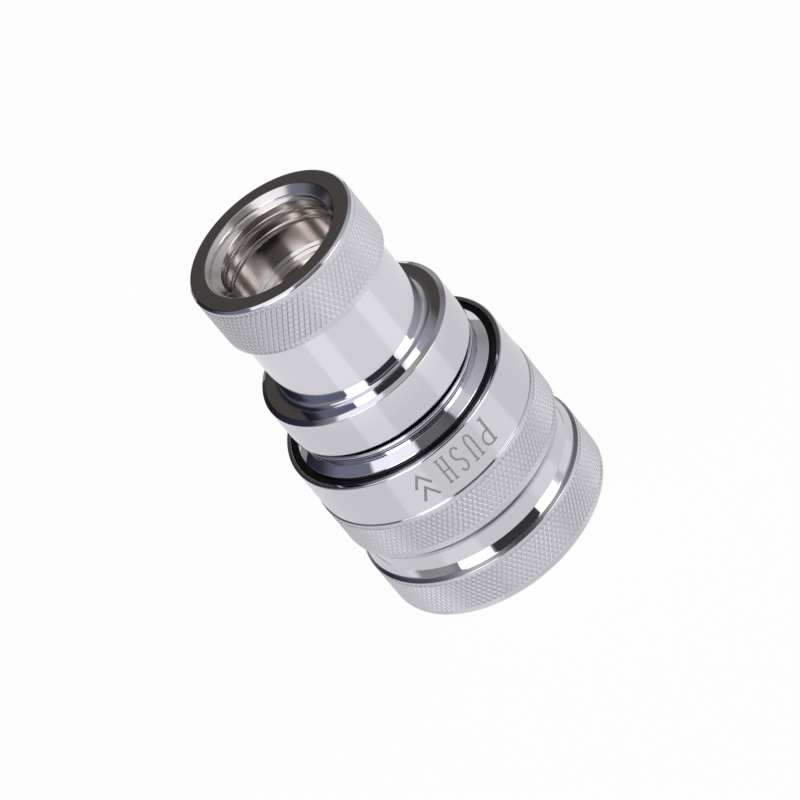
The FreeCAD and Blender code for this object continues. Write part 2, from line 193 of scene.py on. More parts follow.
def turned(name, corners, columns, materials, port=None, depth=knurl_depth):
    """Carry a closed outline round the axis: x = r cos a, y = r sin a, z = height, with a at equal steps.
    In a knurled run every second vertex of a row is a groove crossing and lies deeper, and the next row's crossings
    lie between them. Each cell is split along its groove, and each half has a flat corner at its peak and a wall
    down to the groove. A threaded run's radius comes from the helical groove, and its normals from its slopes."""
    radius, height, normal_r, normal_z, kind, count, span = outline_rows(corners)
    rows = len(radius)
    angle = 2 * math.pi * np.arange(columns) / columns
    r = np.repeat(radius[:, None], columns, axis=1)
    column = np.arange(columns)[None, :]
    crossing = (kind[:, None] == KNURLED) & ((count[:, None] + column) % 2 == 0)
    r = r - depth * crossing
    around = np.zeros_like(r)
    out = np.repeat(normal_r[:, None], columns, axis=1)
    up = np.repeat(normal_z[:, None], columns, axis=1)
    screwed = np.flatnonzero(kind == THREADED)
    if port is not None:
        mouth_height, into, length = port
        wall = thread_relief(radius[screwed], height[screwed], angle, mouth_height, into, length)
        r[screwed] = wall
        slope_up = np.gradient(wall, height[screwed], axis=0)
        slope_round = (np.roll(wall, -1, axis=1) - np.roll(wall, 1, axis=1)) * columns / (4 * math.pi)
        size = np.sqrt(1 + (slope_round / wall) ** 2 + slope_up ** 2)
        out[screwed] = -1 / size
        around[screwed] = slope_round / wall / size
        up[screwed] = slope_up / size
    cos, sin = np.cos(angle)[None, :], np.sin(angle)[None, :]
    z = np.repeat(height[:, None], columns, axis=1)
    points = np.stack([r * cos, r * sin, z], axis=-1).reshape(-1, 3) * MM
    normals = np.stack([out * cos - around * sin, out * sin + around * cos, up], axis=-1).reshape(-1, 3)

    row = np.arange(rows)[:, None]
    here = row * columns + column
    aside = row * columns + (column + 1) % columns
    above = ((row + 1) % rows) * columns + column
    above_aside = ((row + 1) % rows) * columns + (column + 1) % columns
    cells = np.stack([here, aside, above_aside, above], axis=-1)
    plain = cells[span != KNURLED].reshape(-1, 4)
    plain_finish = np.repeat(span[span != KNURLED], columns)
    plain_normals = normals[plain.ravel()]
    face_sets, finish_sets, normal_sets = [plain], [plain_finish], [plain_normals]
    if (span == KNURLED).any():
        shifts = np.array([(1, 0), (-1, 0), (0, 1), (0, -1)]) * flat_share
        lift = np.gradient(height)[:, None, None] * shifts[:, 1]
        swing = (2 * math.pi / columns) * (column[0][:, None] + shifts[:, 0])[None]
        wide = np.repeat(r[..., None], 4, axis=2)
        tops = np.stack([wide * np.cos(swing), wide * np.sin(swing), z[..., None] + lift], axis=-1)
        points = np.concatenate([points, tops.reshape(-1, 3) * MM])
        low_row = np.flatnonzero(span == KNURLED)[:, None]
        even = (count[low_row] + column) % 2 == 0
        below_is_edge = (kind[low_row] != KNURLED) & (column >= 0)
        above_is_edge = (kind[(low_row + 1) % rows] != KNURLED) & (column >= 0)
        a, b, c, d = np.moveaxis(cells[span == KNURLED], -1, 0)
        halves = [(even, b, c, UP, a, LEFT, False), (even, d, a, DOWN, c, RIGHT, True),
                  (~even, a, b, RIGHT, d, UP, False), (~even, c, d, LEFT, b, DOWN, True)]
        for chosen, peak, first, first_way, second, second_way, peak_above in halves:
            first_top = rows * columns + peak * 4 + first_way
            second_top = rows * columns + peak * 4 + second_way
            peak_on_edge = above_is_edge if peak_above else below_is_edge
            inner = chosen & ~below_is_edge & ~above_is_edge
            edge = chosen & (below_is_edge | above_is_edge)
            ridge = edge & ~peak_on_edge
            along_row = first_way in (LEFT, RIGHT)
            row_top = [peak, first_top, first, second] if along_row else [peak, first, second, second_top]
            for mask, loop in [(inner, [first_top, first, second, second_top]),
                               (inner, [peak, first_top, second_top]),
                               (ridge, row_top),
                               (edge & peak_on_edge, [peak, first, second])]:
                facets = np.stack([corner_of + np.zeros_like(a) for corner_of in loop], axis=-1)[mask]
                if len(facets) == 0:
                    continue
                at = points[facets]
                flat = np.cross(at[:, 1] - at[:, 0], at[:, -1] - at[:, 0])
                flat = flat + np.cross(at[:, 2] - at[:, 1], at[:, 0] - at[:, 1])
                flat /= np.linalg.norm(flat, axis=1)[:, None]
                face_sets.append(facets)
                finish_sets.append(np.full(len(facets), KNURLED))
                normal_sets.append(np.repeat(flat, len(loop), axis=0))
        used, places = np.unique(np.concatenate([faces.ravel() for faces in face_sets]), return_inverse=True)
        points = points[used]
        ends = np.cumsum([faces.size for faces in face_sets])
        face_sets = [part.reshape(faces.shape) for part, faces in zip(np.split(places.ravel(), ends[:-1]), face_sets)]
    return piece_from_arrays(name, points, face_sets, finish_sets, materials, np.concatenate(normal_sets))


# Materials

# Places of a colour mix's two colours among its inputs, and of the mixed one among its outputs
MIX_A, MIX_B, MIXED = 6, 7, 2


def linear(hex_colour):
    """An sRGB hex colour as the linear colour that Blender works with."""
    parts = [int(hex_colour[index:index + 2], 16) / 255 for index in (1, 3, 5)]
    return [part / 12.92 if part <= 0.04045 else ((part + 0.055) / 1.055) ** 2.4 for part in parts] + [1]


def add_node(tree, kind, settings=(), **links):
    """Add one node. Settings are its properties by name and its socket values by name or number, and links name the
    socket to feed, with spaces as underscores or as its number, and give the output that feeds it."""
    node = tree.nodes.new(kind)
    for key, value in dict(settings).items():
        if isinstance(key, int) or key in node.inputs:
            node.inputs[key].default_value = value
        else:
            setattr(node, key, value)
    for key, output in links.items():
        tree.links.new(output, node.inputs[int(key[1:]) if key[1:].isdigit() else key.replace("_", " ")])
    return node


def new_material(name):
    """An empty node material, its node tree, and the output that gives the object's own coordinates."""
    material = bpy.data.materials.new(name)
    material.use_nodes = True
    tree = material.node_tree
    tree.nodes.clear()
    place = add_node(tree, "ShaderNodeTexCoord").outputs["Object"]
    return material, tree, place


def finish_material(tree, shader):
    """Send the shader to the surface."""
    add_node(tree, "ShaderNodeOutputMaterial", Surface=shader.outputs[0])


def per_mm(millimetres):
    """The scale at which a noise or wave on coordinates in metres repeats after this many millimetres."""
    return 1000.0 / millimetres


# Patterns on the finishes, in millimetres: a metal's haze, its tool marks, and a moulding's paler clouds. Real tool
# marks lie 0.05 to 0.1 apart. Where that is too fine to show, as in the port, they are drawn as coarse as they need
haze_size = 6
tool_mark_height = 0.002
cloud_size = 1.5
# Shares: how strongly a moulding's grain tilts the light, and how far its roughness drifts
grain_strength = 0.6
moulded_spread = 0.06


def metal(name, colour, roughness, spread, mark_size, mark_strength):
    """A metal that was turned on a lathe. Its roughness drifts by the spread over a few millimetres, and the tool's
    path leaves rings on it, mark_size millimetres apart."""
    material, tree, place = new_material(name)
    haze = add_node(tree, "ShaderNodeTexNoise", {"Scale": per_mm(haze_size), "Detail": 3.0}, Vector=place)
    rough = add_node(tree, "ShaderNodeMapRange", {"To Min": roughness - spread, "To Max": roughness + spread},
                     Value=haze.outputs["Fac"])
    split = add_node(tree, "ShaderNodeSeparateXYZ", Vector=place)
    rings = add_node(tree, "ShaderNodeTexNoise",
                     {"noise_dimensions": "1D", "Scale": per_mm(mark_size), "Detail": 2.0}, W=split.outputs["Z"])
    bump = add_node(tree, "ShaderNodeBump", {"Strength": mark_strength, "Distance": tool_mark_height * MM},
                    Height=rings.outputs["Fac"])
    shader = add_node(tree, "ShaderNodeBsdfPrincipled", {"Base Color": linear(colour), "Metallic": 1.0},
                      Roughness=rough.outputs["Result"], Normal=bump.outputs["Normal"])
    finish_material(tree, shader)
    return material


def polymer(name, colour, other_colour, roughness, grain, grain_height, ior):
    """A moulded rubber or plastic with a fine grain, a little paler where the mould was worn."""
    material, tree, place = new_material(name)
    cloud = add_node(tree, "ShaderNodeTexNoise", {"Scale": per_mm(cloud_size), "Detail": 4.0}, Vector=place)
    blend = add_node(tree, "ShaderNodeMix", {"data_type": "RGBA", MIX_A: linear(colour), MIX_B: linear(other_colour)},
                     Factor=cloud.outputs["Fac"])
    fine = add_node(tree, "ShaderNodeTexNoise", {"Scale": per_mm(grain), "Detail": 2.0}, Vector=place)
    bump = add_node(tree, "ShaderNodeBump", {"Strength": grain_strength, "Distance": grain_height * MM},
                    Height=fine.outputs["Fac"])
    rough = add_node(tree, "ShaderNodeMapRange",
                     {"To Min": roughness - moulded_spread, "To Max": roughness + moulded_spread},
                     Value=cloud.outputs["Fac"])
    shader = add_node(tree, "ShaderNodeBsdfPrincipled", {"IOR": ior}, Base_Color=blend.outputs[MIXED],
                      Roughness=rough.outputs["Result"], Normal=bump.outputs["Normal"])
    finish_material(tree, shader)
    return material


# Brass, turned, buffed and chrome plated: a clean, slightly blue mirror with the last trace of the buffing
polished_chrome = metal("polished_chrome_plate", "#DEDDE5",
                        roughness=0.05, spread=0.012, mark_size=0.5, mark_strength=0.12)
# The same plate over a rolled knurl: each facet is a little dull
knurled_chrome = metal("chrome_plate_on_rolled_knurl", "#DAD9E0",
                       roughness=0.34, spread=0.04, mark_size=0.3, mark_strength=0.2)
# Plate in the screwed port, where no buffing wheel reaches: warmer and hazier, and the tap's marks stay
port_chrome = metal("chrome_plate_in_tapped_port", "#E2DDDB",
                    roughness=0.18, spread=0.02, mark_size=1.2, mark_strength=0.1)
# Plate on bores that were only turned: a soft mirror
bore_chrome = metal("chrome_plate_on_turned_bore", "#DDD8D5",
                    roughness=0.12, spread=0.02, mark_size=1.2, mark_strength=0.1)
# Plate on an edge that was left as it was turned: grey and satin
edge_chrome = metal("chrome_plate_on_turned_edge", "#8E8D92",
                    roughness=0.28, spread=0.04, mark_size=0.1, mark_strength=0.3)
# Bare brass valve parts, turned and left so: yellow, with fine bright rings
turned_brass = metal("turned_brass", "#D8B66A", roughness=0.22, spread=0.05, mark_size=0.12, mark_strength=1.0)
# Drawn stainless spring wire: grey and a little hazy
drawn_steel = metal("drawn_spring_wire", "#B9B8B6", roughness=0.25, spread=0.05, mark_size=0.2, mark_strength=0.5)
# Ground and polished bearing balls: a clear mirror
ball_steel = metal("polished_ball_steel", "#C4C4C6", roughness=0.06, spread=0.01, mark_size=0.5, mark_strength=0.1)
# Nitrile rubber, moulded: black with a soft sheen
nitrile_rubber = polymer("nitrile_rubber", "#17171A", "#1E1E21",
                         roughness=0.5, grain=0.06, grain_height=0.004, ior=1.52)
# Acetal guide ring, moulded in black: deep and waxy
acetal = polymer("black_acetal", "#060608", "#0B0B0E",
                 roughness=0.42, grain=0.08, grain_height=0.002, ior=1.36)
# Mark burnt into the plate by a laser: a dull grey-brown oxide
laser_oxide = polymer("laser_oxide_on_plate", "#9E9B99", "#ADA9A6",
                      roughness=0.5, grain=0.05, grain_height=0.003, ior=1.5)

# In the order of the finishes' numbers
turned_finishes = [polished_chrome, knurled_chrome, port_chrome, bore_chrome, edge_chrome]


# Turned pieces

def span_of(node):
    """Lowest height, highest height and largest radius of a solid, in millimetres."""
    low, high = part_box(node)
    return low.z / MM, high.z / MM, high.x / MM


adapter_low, neck_top, end_ring_r = span_of("socket_adapter")
end_ring_height = 4.83
end_ring_edge = 0.05
knurl_side_edge = 0.03
flare_edge = 0.08
flare_foot_r = 11.31
flare_low = 5.15
flare_top = 6.01
neck_r = 10.95
adapter_bore_r = 9.23
guide_top = 5.7
guide_seat_r = 7.03
socket_port_depth = 5.0

end_ring = turned("knurled_end_ring", [
    corner(port_mouth_r, adapter_low, outer_edge),
    corner(end_ring_r, adapter_low, outer_edge * 2, KNURLED),
    corner(end_ring_r, end_ring_height - end_ring_edge, knurl_side_edge),
    corner(end_ring_r - end_ring_edge, end_ring_height, knurl_side_edge, DULL),
    corner(flare_foot_r, flare_low, flare_edge),
    corner(neck_r, flare_top, flare_edge),
    corner(neck_r, neck_top, outer_edge),
    corner(adapter_bore_r, neck_top, outer_edge, BORED),
    corner(adapter_bore_r, guide_top, inner_edge, BORED),
    corner(guide_seat_r, guide_top, inner_edge, BORED),
    corner(guide_seat_r, socket_port_depth, inner_edge, BORED),
    corner(thread_minor_r, socket_port_depth, outer_edge, THREADED),
    corner(thread_minor_r, port_bevel, 0, THREADED),
], 2 * ring_diamonds, turned_finishes, port=(adapter_low, -1, socket_thread_length))
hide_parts("socket_adapter")
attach(end_ring, "socket")

body_low, socket_front, socket_flange_r = span_of("socket_body")
chamber_r = 6.2
shoulder_r = 9.2
joint_groove_low = 7.0
joint_groove_top = 7.9
joint_groove_r = 8.37
tube_r = 8.45
flange_low = 16.84
ring_groove_low = 17.44
ring_groove_top = 18.40
ring_groove_r = 9.75
cone_low = 18.80
cone_top = 19.58
cone_top_r = 9.55
cone_foot_edge = 0.06
lip_edge = 0.03
lip_notch_r = 9.27
bead_low = 20.00
bead_r = 9.52
bead_foot_edge = (0.18, 0.4)
bead_top_edge = (0.21, 0.56)
bore_r = 7.05
bore_mouth = 0.55
bore_groove_low = 11.3
bore_groove_top = 12.2
bore_groove_r = 7.85
bore_floor = 10.85
socket_land = 10.6
socket_seat = 9.8
valve_hole_r = 4.2
seat_mouth_r = 5.0

socket_front_piece = turned("socket_front", [
    corner(chamber_r, body_low, inner_edge),
    corner(shoulder_r, body_low, outer_edge),
    corner(shoulder_r, joint_groove_low),
    corner(joint_groove_r, joint_groove_low),
    corner(joint_groove_r, joint_groove_top),
    corner(shoulder_r, joint_groove_top),
    corner(shoulder_r, neck_top, outer_edge),
    corner(tube_r, neck_top),
    corner(tube_r, flange_low),
    corner(socket_flange_r, flange_low, outer_edge),
    corner(socket_flange_r, ring_groove_low, inner_edge),
    corner(ring_groove_r, ring_groove_low, inner_edge),
    corner(ring_groove_r, ring_groove_top, inner_edge),
    corner(socket_flange_r, ring_groove_top, outer_edge),
    corner(socket_flange_r, cone_low, cone_foot_edge),
    corner(cone_top_r, cone_top, lip_edge),
    corner(lip_notch_r, cone_top, lip_edge),
    corner(lip_notch_r, bead_low, lip_edge),
    corner(bead_r, bead_low, bead_foot_edge),
    corner(bead_r, socket_front, bead_top_edge),
    corner(bore_r + bore_mouth, socket_front, outer_edge),
    corner(bore_r, socket_front - bore_mouth, outer_edge, BORED),
    corner(bore_r, bore_groove_top, inner_edge, BORED),
    corner(bore_groove_r, bore_groove_top, inner_edge, BORED),
    corner(bore_groove_r, bore_groove_low, inner_edge, BORED),
    corner(bore_r, bore_groove_low, inner_edge, BORED),
    corner(bore_r, bore_floor, inner_edge, BORED),
    corner(valve_hole_r, bore_floor, outer_edge, BORED),
    corner(valve_hole_r, socket_land, inner_edge, BORED),
    corner(seat_mouth_r, socket_seat, inner_edge, BORED),
    corner(chamber_r, socket_seat, inner_edge, BORED),
], plain_columns, turned_finishes)
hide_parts("socket_body")
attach(socket_front_piece, "socket")

sleeve_low, sleeve_top, sleeve_knurl_r = span_of("lock_sleeve")
sleeve_bore_r = 11.0
sleeve_taper_width = 0.5
sleeve_taper_height = 1.02
sleeve_band_r = 11.51
sleeve_front_bore_r = 11.03
sleeve_edge = 0.04
sleeve_taper_edge = (0.09, 0.28)
sleeve_front_edge = 0.2
knurl_top = 13.49
knurl_shoulder_height = 0.13
web_low = 12.65
web_top = 14.99
web_low_r = 8.70
web_top_r = 9.128

sleeve = turned("knurled_lock_sleeve", [
    corner(sleeve_bore_r, sleeve_low, sleeve_edge),
    corner(sleeve_knurl_r - sleeve_taper_width, sleeve_low, sleeve_taper_edge),
    corner(sleeve_knurl_r, sleeve_low + sleeve_taper_height, sleeve_edge, KNURLED),
    corner(sleeve_knurl_r, knurl_top - knurl_shoulder_height, knurl_side_edge),
    corner(sleeve_band_r, knurl_top, knurl_side_edge),
    corner(sleeve_band_r, sleeve_top, sleeve_front_edge),
    corner(sleeve_front_bore_r, sleeve_top, outer_edge),
    corner(sleeve_front_bore_r, web_top),
    corner(web_top_r, web_top),
    corner(web_low_r, web_low),
    corner(sleeve_bore_r, web_low),
], 2 * ring_diamonds, turned_finishes)
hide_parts("lock_sleeve")
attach(sleeve, "lock_sleeve")

nose_tip, plug_flange_top, plug_flange_r = span_of("plug_body")
nose_r = 7.0
nose_edge = 0.15
nose_tip_chamfer = 0.5
ball_height = 14.79
ball_groove_r = 6.62
ball_groove_half_floor = 0.38
ball_groove_half_mouth = 0.76
plug_flange_low = 21.20
flange_low_edge = 0.19
flange_side_edge = 0.05
flange_top_edge = 0.04
flange_bevel_height = 0.26
flange_bevel_width = 0.49
counterbore_r = 6.88
plug_chamber_r = 5.75
plug_guide_low = 21.6
plug_seat = 12.3
plug_land = 11.5

plug_flange = turned("plug_flange_and_nose", [
    corner(valve_hole_r, nose_tip, inner_edge),
    corner(nose_r - nose_tip_chamfer, nose_tip, nose_edge),
    corner(nose_r, nose_tip + nose_tip_chamfer, nose_edge),
    corner(nose_r, ball_height - ball_groove_half_mouth, outer_edge),
    corner(ball_groove_r, ball_height - ball_groove_half_floor, nose_edge),
    corner(ball_groove_r, ball_height + ball_groove_half_floor, nose_edge),
    corner(nose_r, ball_height + ball_groove_half_mouth, outer_edge),
    corner(nose_r, plug_flange_low, inner_edge),
    corner(plug_flange_r, plug_flange_low, flange_low_edge),
    corner(plug_flange_r, plug_flange_top - flange_bevel_height, flange_side_edge),
    corner(plug_flange_r - flange_bevel_width, plug_flange_top, flange_top_edge),
    corner(counterbore_r, plug_flange_top, inner_edge, BORED),
    corner(counterbore_r, plug_guide_low, inner_edge, BORED),
    corner(plug_chamber_r, plug_guide_low, inner_edge, BORED),
    corner(plug_chamber_r, plug_seat, inner_edge, BORED),
    corner(seat_mouth_r, plug_seat, inner_edge, BORED),
    corner(valve_hole_r, plug_land, inner_edge, BORED),
], plain_columns, turned_finishes)
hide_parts("plug_body")
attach(plug_flange, "plug")

spigot_low, plug_end, collar_r = span_of("plug_collar")
passage_r = 4.0
spigot_r = 6.85
plug_groove_top = 23.86
plug_groove_low = 22.96
plug_groove_r = 6.02
foot_r = 8.31
barrel_r = 7.71
foot_step = 0.03
foot_edge = 0.01
foot_height = 0.41
foot_margin = 0.02
barrel_top_edge = 0.04
collar_low = 34.07
collar_bevel = 0.24
collar_bevel_edge = 0.05
port_floor = 33.56
port_step_cone = 0.28
port_step_wall = 0.08
port_steps = 2
port_flat = port_floor - port_steps * (port_step_cone + port_step_wall)
port_flat_r = thread_minor_r - port_steps * port_step_cone
port_hole_r = 2.0
port_floor_low = 32.06

collar = turned("knurled_plug_collar", [
    corner(passage_r, spigot_low, inner_edge),
    corner(spigot_r, spigot_low, outer_edge),
    corner(spigot_r, plug_groove_low),
    corner(plug_groove_r, plug_groove_low),
    corner(plug_groove_r, plug_groove_top),
    corner(spigot_r, plug_groove_top),
    corner(spigot_r, plug_flange_top),
    corner(foot_r, plug_flange_top, foot_edge),
    corner(foot_r, plug_flange_top + foot_step, foot_edge),
    corner(barrel_r, plug_flange_top + foot_step, (foot_r - barrel_r - foot_margin, foot_height - foot_step)),
    corner(barrel_r, collar_low, barrel_top_edge),
    corner(collar_r, collar_low, outer_edge, KNURLED),
    corner(collar_r, plug_end - collar_bevel, collar_bevel_edge),
    corner(collar_r - collar_bevel, plug_end, outer_edge),
    corner(port_mouth_r, plug_end, outer_edge, THREADED),
    corner(thread_minor_r, plug_end - port_bevel, 0, THREADED),
    corner(thread_minor_r, port_floor, inner_edge, BORED),
    corner(thread_minor_r - port_step_cone, port_floor - port_step_cone, inner_edge, BORED),
    corner(thread_minor_r - port_step_cone, port_floor - port_step_cone - port_step_wall, inner_edge, BORED),
    corner(port_flat_r, port_flat + port_step_wall, inner_edge, BORED),
    corner(port_flat_r, port_flat, inner_edge, BORED),
    corner(port_hole_r, port_flat, outer_edge, BORED),
    corner(port_hole_r, port_floor_low, inner_edge, BORED),
    corner(passage_r, port_floor_low, inner_edge, BORED),
], 2 * collar_diamonds, turned_finishes, port=(plug_end, 1, plug_thread_length), depth=collar_knurl_depth)
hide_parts("plug_collar")
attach(collar, "plug")

# Solids that keep their own mesh get the finish of what they are made of
kept_finish = {
    "socket_joint_oring": nitrile_rubber, "socket_bore_oring": nitrile_rubber, "plug_joint_oring": nitrile_rubber,
    "socket_poppet_seal": nitrile_rubber, "plug_poppet_seal": nitrile_rubber, "sleeve_guide_ring": acetal,
    "socket_valve_guide": turned_brass, "plug_valve_guide": turned_brass,
    "socket_poppet": turned_brass, "plug_poppet": turned_brass,
    "socket_valve_spring": drawn_steel, "plug_valve_spring": drawn_steel,
}
ball_count = 8
for number in range(1, ball_count + 1):
    kept_finish["lock_ball_%d" % number] = ball_steel
for node, material in kept_finish.items():
    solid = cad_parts[node]
    for index in range(max(1, len(solid.material_slots))):
        if index >= len(solid.material_slots):
            solid.data.materials.append(material)
        solid.material_slots[index].material = material


# Marking on the sleeve: the push direction, as a word and two chevrons that point towards the plug

mark_thickness = 0.014
mark_rise = 0.004
mark_outer_r = sleeve_band_r + mark_rise
thin_stroke = 0.2
stem_stroke = 0.26
serif_stroke = thin_stroke * 0.8
longest_step = 0.2
least_mitre = 0.4
word_low = 14.75
word_high = 17.8
# Where each letter of the word begins and ends along the arc
letter_starts = [4.80, 2.99, 1.26, -0.27]
letter_ends = [3.46, 1.80, 0.27, -1.26]
chevron_middle = -3.28
chevron_half_width = 0.8
chevron_heights = [(17.45, 16.1), (15.9, 14.5)]


def marked_ribbon(strokes):
    """Strokes on the sleeve's smooth band as closed strips. A stroke is a line through (arc, height) points with a
    width, and its strip's sides lie half the width to the left and right of the line's bisectors. The arc a counts
    from the front towards +X, so a point is x = r sin(a / R), y = -r cos(a / R), z = height, where R is the band's
    radius and r is a little more for the outer face and a little less for the inner one."""
    points, face_sets = [], []
    total = 0
    for line, width in strokes:
        line = np.array(line, float)
        spans = [np.linspace(start, end, max(2, int(np.linalg.norm(end - start) / longest_step) + 1))[:-1]
                 for start, end in zip(line[:-1], line[1:])]
        line = np.concatenate(spans + [line[-1:]])
        steps = np.diff(line, axis=0)
        steps /= np.linalg.norm(steps, axis=1)[:, None]
        ways = np.concatenate([steps[:1], steps[1:] + steps[:-1], steps[-1:]])
        ways /= np.linalg.norm(ways, axis=1)[:, None]
        stretch = 1 / np.maximum((ways * np.concatenate([steps[:1], steps])).sum(axis=1), least_mitre)
        side = np.stack([-ways[:, 1], ways[:, 0]], axis=1) * (width / 2 * stretch)[:, None]
        edges = np.stack([line - side, line + side], axis=1)
        turn = edges[..., 0] / sleeve_band_r
        for radius in (mark_outer_r, mark_outer_r - mark_thickness):
            laid = np.stack([radius * np.sin(turn), -radius * np.cos(turn), edges[..., 1]], axis=-1)
            points.append(laid.reshape(-1, 3))
        number = len(line)
        base = total + 2 * np.arange(number - 1)
        low = base + 2 * number
        face_sets += [np.stack([base, base + 2, base + 3, base + 1], axis=1),
                      np.stack([low, low + 1, low + 3, low + 2], axis=1),
                      np.stack([base, low, low + 2, base + 2], axis=1),
                      np.stack([base + 1, base + 3, low + 3, low + 1], axis=1)]
        last = total + 2 * (number - 1)
        face_sets += [np.array([[total, total + 1, total + 2 * number + 1, total + 2 * number]]),
                      np.array([[last, last + 2 * number, last + 2 * number + 1, last + 1]])]
        total += 4 * number
    faces = [np.concatenate(face_sets)]
    return piece_from_arrays("push_marking", np.concatenate(points) * MM, faces, [np.zeros(len(faces[0]), int)],
                             [laser_oxide])


def bend(centre, half_width, half_height, first_deg, last_deg, steps=9):
    """Points on a part of an ellipse: centre + (half width times cos t, half height times sin t)."""
    t = np.radians(np.linspace(first_deg, last_deg, steps))
    return [(centre[0] + half_width * math.cos(a), centre[1] + half_height * math.sin(a)) for a in t]


def letter_strokes(starts, ends):
    """The word's four letters in a narrow face with small serifs. The word stands on its head, seen from the socket:
    its letters' tops point to the socket and it reads towards -X. Each letter is drawn in shares of its own width
    and height, x from its start to its end and y from its foot to its top."""
    strokes = []

    def place(start, end, lines):
        for line, width in lines:
            laid = [(start + (end - start) * x, word_high + (word_low - word_high) * y) for x, y in line]
            strokes.append((laid, width))

    def serif(x, y, half=0.2):
        return [(x - half, y), (x + half, y)], serif_stroke

    p_bowl = [(0.25, 0.98)] + bend((0.5, 0.73), 0.45, 0.25, 90, -90) + [(0.25, 0.48)]
    place(starts[0], ends[0], [([(0.22, 0), (0.22, 1)], stem_stroke), (p_bowl, thin_stroke),
                               serif(0.25, 0.02), serif(0.1, 0.98, 0.12)])
    u_curve = [(0.2, 1.0)] + bend((0.5, 0.25), 0.3, 0.23, 180, 360, 11) + [(0.8, 1.0)]
    place(starts[1], ends[1], [(u_curve, thin_stroke), serif(0.2, 0.98), serif(0.8, 0.98)])
    s_curve = bend((0.5, 0.75), 0.38, 0.23, 20, 250, 11) + bend((0.5, 0.26), 0.4, 0.24, 70, -160, 11)
    place(starts[2], ends[2], [(s_curve, thin_stroke)])
    place(starts[3], ends[3], [([(0.18, 0), (0.18, 1)], thin_stroke), ([(0.82, 0), (0.82, 1)], thin_stroke),
                               ([(0.18, 0.52), (0.82, 0.52)], serif_stroke),
                               serif(0.18, 0.02), serif(0.82, 0.02), serif(0.18, 0.98), serif(0.82, 0.98)])
    return strokes


def chevron(apex, arm_end):
    """A chevron with its apex towards the plug."""
    return [(chevron_middle - chevron_half_width, arm_end), (chevron_middle, apex),
            (chevron_middle + chevron_half_width, arm_end)], stem_stroke


marking = marked_ribbon(letter_strokes(letter_starts, letter_ends)
                        + [chevron(apex, arm_end) for apex, arm_end in chevron_heights])
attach(marking, "lock_sleeve")


# Studio: white floor, two tall soft lights in front, and the room round them

# The sheet, in metres: cast opal acrylic, which is matt and nearly white. Then its tones as the chrome mirrors them,
# painted into its glow: a little below white and darker near the coupling as painted shade, white in two painted
# pools of light, and a painted dim on the far left
sheet_half = 4.0
acrylic_tone = "#F4F4F4"
glow_share = 0.96
sheet_tone = "#EFEFEF"
pool_tone = "#FFFFFF"
dim_tone = "#959595"
# Painted shade near the coupling: inside near_end the mirrored tone is scaled down by this gain, back to full at
# far_start
near_shade_gain = 0.88
near_end = 0.042
far_start = 0.047
dim_start = -0.055
dim_full = -0.080

# Colours by azimuth, counted in degrees from the front towards +X: of the sheet, and of the room's walls
sheet_stops = [(-180, sheet_tone), (-53, sheet_tone), (-49, pool_tone), (-23, pool_tone), (-19, sheet_tone),
               (29, sheet_tone), (33, pool_tone), (58, pool_tone), (62, sheet_tone), (180, sheet_tone)]
wall_stops = [(-180, "#4F4A47"), (-150, "#1D1D2A"), (-125, "#353743"), (-108, "#757A8A"), (-52, "#757A8A"),
              (-49, "#E0E0E0"), (-21, "#E0E0E0"), (-18, "#3D3C3F"), (36, "#3D3C3F"), (39, "#E0E0E0"),
              (63, "#E0E0E0"), (67, "#CDCDD4"), (115, "#A3A3A9"), (150, "#625F5D"), (180, "#4F4A47")]

# The ceiling's elevations in degrees, where it begins, fills and starts to grow paler, and its two colours
ceiling_start = 48
ceiling_full = 62
zenith_start = 66
ceiling_tone = "#979591"
zenith_tone = "#C5C1B9"

# Round patches of the room: azimuth, elevation, where its edge begins and ends in degrees, colour and gain. They
# are two low walls, and a third soft light high on the left
room_patches = [(-75, 3, 10, 26, "#9E9E9E", 1.0), (145, 8, 8, 24, "#A6A5A2", 1.0), (-62, 62, 22, 25, "#FAFAFF", 1.2)]


def set_stops(ramp, stops):
    """Fill a colour ramp over a whole turn with (degrees, colour) stops."""
    points = ramp.color_ramp.elements
    while len(points) < len(stops):
        points.new(0.5)
    for point, (azimuth, colour) in zip(points, stops):
        point.position = (azimuth + 180) / 360
        point.color = linear(colour)


def azimuth_of(tree, split):
    """The azimuth of a split direction or place, as a share of the whole turn: the angle whose tangent is x / -y."""
    front = add_node(tree, "ShaderNodeMath", {"operation": "MULTIPLY", 1: -1.0}, _0=split.outputs["Y"])
    turn = add_node(tree, "ShaderNodeMath", {"operation": "ARCTAN2"}, _0=split.outputs["X"], _1=front.outputs[0])
    return add_node(tree, "ShaderNodeMapRange", {"From Min": -math.pi, "From Max": math.pi}, Value=turn.outputs[0])


